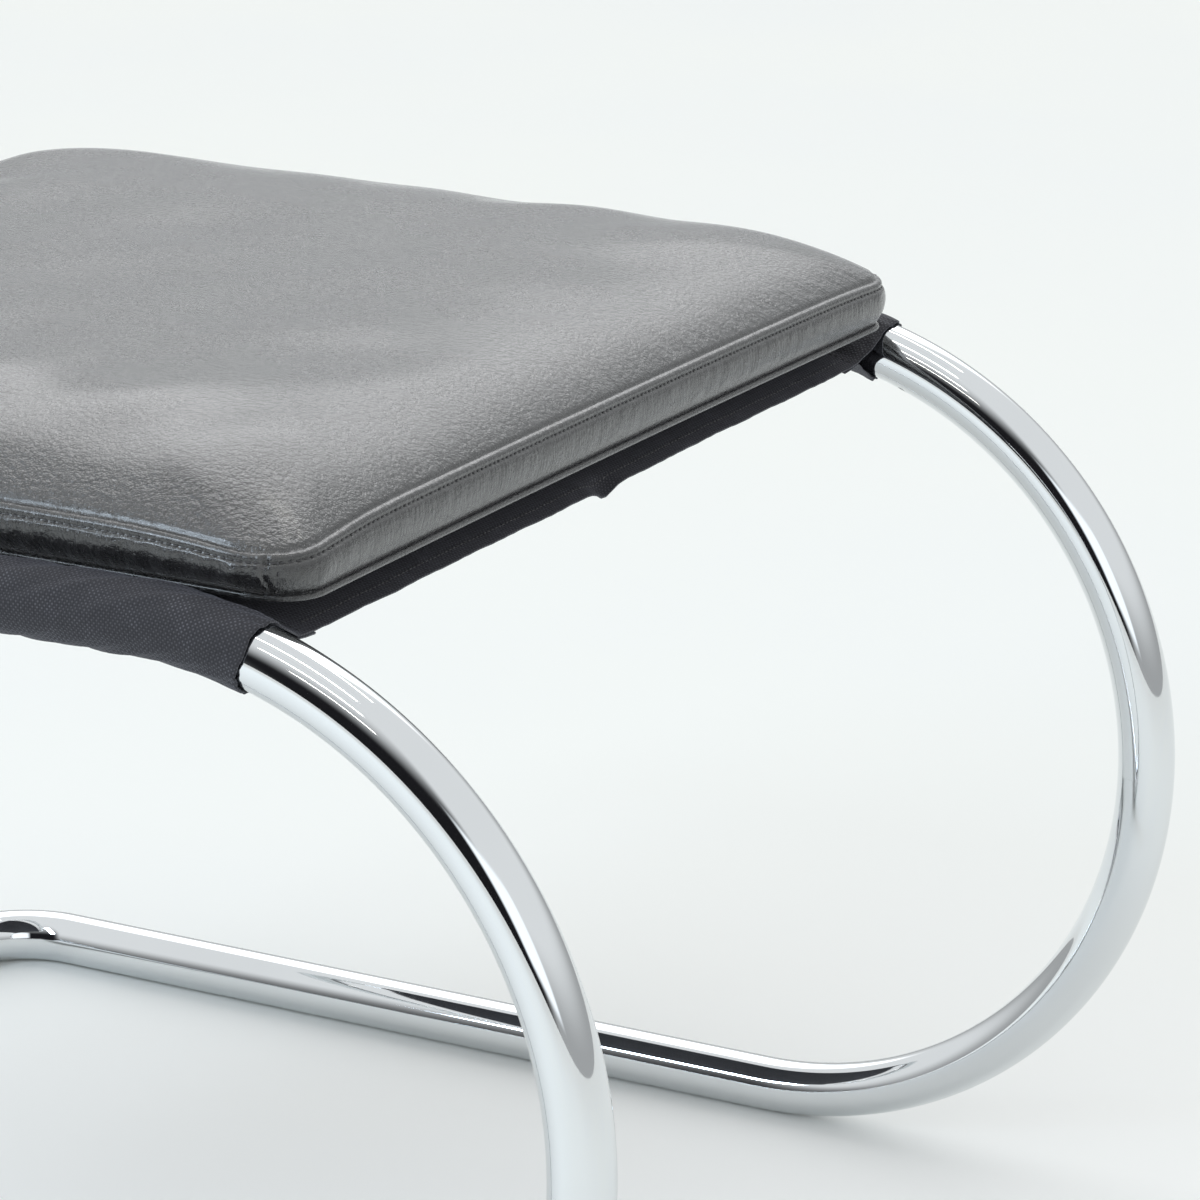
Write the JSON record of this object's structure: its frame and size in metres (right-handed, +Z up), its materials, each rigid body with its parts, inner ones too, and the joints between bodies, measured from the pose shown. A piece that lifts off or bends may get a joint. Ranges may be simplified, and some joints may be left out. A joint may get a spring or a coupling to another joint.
{
  "type": "cantilever stool",
  "caption": "Backless cantilever seat: bent chromed round tube with half-circle fronts, a cloth sling between the rails and a loose boxed black leather cushion with a zip.",
  "frame": {"origin": "middle of the footprint on the floor, under the frame", "axes": "+Z up, +Y towards the rear cross tubes, the half circles face -Y, +X to the right seen from the front"},
  "size_m": [0.5594, 0.639, 0.437],
  "materials": {
    "chromed_tube": "mirror chrome plate",
    "spigot_steel": "turned, oiled",
    "screw_steel": "black oxide",
    "sling_cloth": "dense black waxed yarn cloth",
    "black_leather": "fine grain, semi-gloss",
    "piping_leather": "fine grain, semi-gloss",
    "wadding": "polyester fibre",
    "foam": "open-cell foam",
    "zip_tape": "woven tape",
    "zip_coil": "moulded coil",
    "zip_metal": "black enamel"
  },
  "bodies": {
    "frame": {"base_frame_tube": "chromed_tube", "seat_frame_tube": "chromed_tube", "left_joint_spigot": "spigot_steel", "right_joint_spigot": "spigot_steel", "spigot_screws": "screw_steel", "sling": "sling_cloth"},
    "cushion": {"cushion_top_panel": "black_leather", "cushion_bottom_panel": "black_leather", "cushion_front_band": "black_leather", "cushion_left_band": "black_leather", "cushion_right_band": "black_leather", "cushion_zip_band": "black_leather", "cushion_piping": "piping_leather", "cushion_wadding": "wadding", "cushion_foam": "foam", "zip_upper_tape": "zip_tape", "zip_lower_tape": "zip_tape", "zip_upper_coil": "zip_coil", "zip_lower_coil": "zip_coil", "zip_end_stops": "zip_metal"},
    "zip_slider": {"zip_slider": "zip_metal"},
    "zip_pull": {"zip_pull": "zip_metal"}
  },
  "joints": [
    {"name": "cushion_lift", "type": "slide", "parent": "frame", "child": "cushion", "axis": [0, 0, 1], "range_m": [0, 0.25]},
    {"name": "zip_slide", "type": "slide", "parent": "cushion", "child": "zip_slider", "axis": [1, 0, 0], "range_m": [0, 0.3884]},
    {"name": "zip_pull_swing", "type": "hinge", "parent": "zip_slider", "child": "zip_pull", "pos_m": [-0.1942, 0.2663, 0.39905], "axis": [0, 0, 1], "range_deg": [0, 180]}
  ]
}
